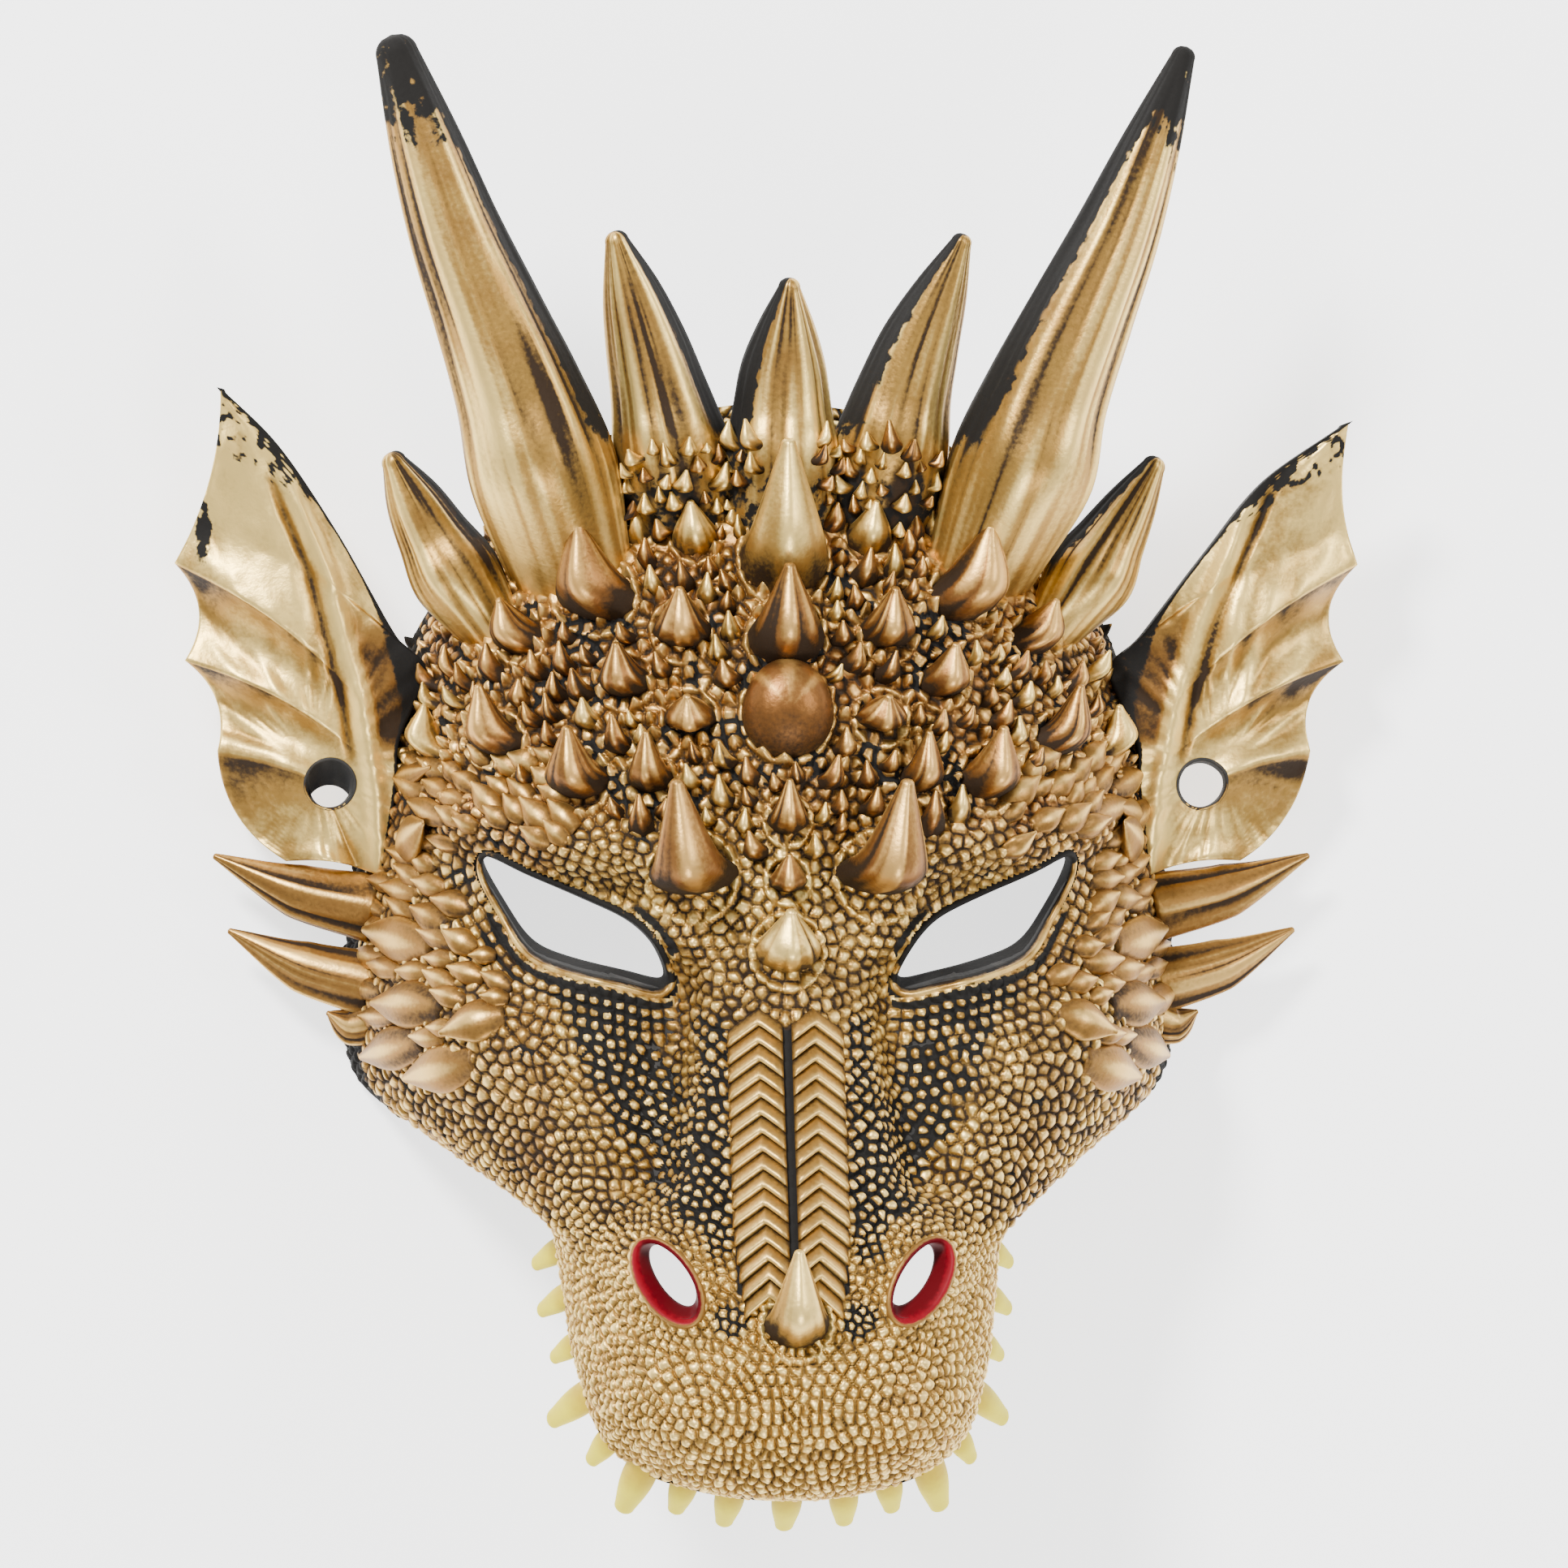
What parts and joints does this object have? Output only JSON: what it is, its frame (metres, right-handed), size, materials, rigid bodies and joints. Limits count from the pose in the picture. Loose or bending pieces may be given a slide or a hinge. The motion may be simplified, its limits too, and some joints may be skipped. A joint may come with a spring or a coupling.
{
  "type": "dragon mask",
  "caption": "Moulded foam dragon face mask with swept horns, finned ears, slanting eye holes, a long snout edged with teeth and a hollow back for the wearer's face.",
  "frame": {"origin": "middle of the underside of the mask's box: the mask lies on its cheek rims with its face up", "axes": "+X towards the mask's edge on the viewer's right, +Y up the face from the teeth to the horns, +Z out of the face"},
  "size_m": [0.2424, 0.2978, 0.1061],
  "materials": {
    "gold_painted_foam": "soft black foam with a worn, sprayed-on coat of aged gold paint",
    "copper_painted_foam": "copper brown sprayed over the gold on the brow, thorns and jaw spikes",
    "black_foam": "bare matt black foam of the back and edges",
    "tooth_paint": "hand-painted pale yellow",
    "nostril_paint": "dark red brushed into the nostrils"
  },
  "bodies": {
    "root": {"mask": "gold_painted_foam"}
  },
  "joints": []
}
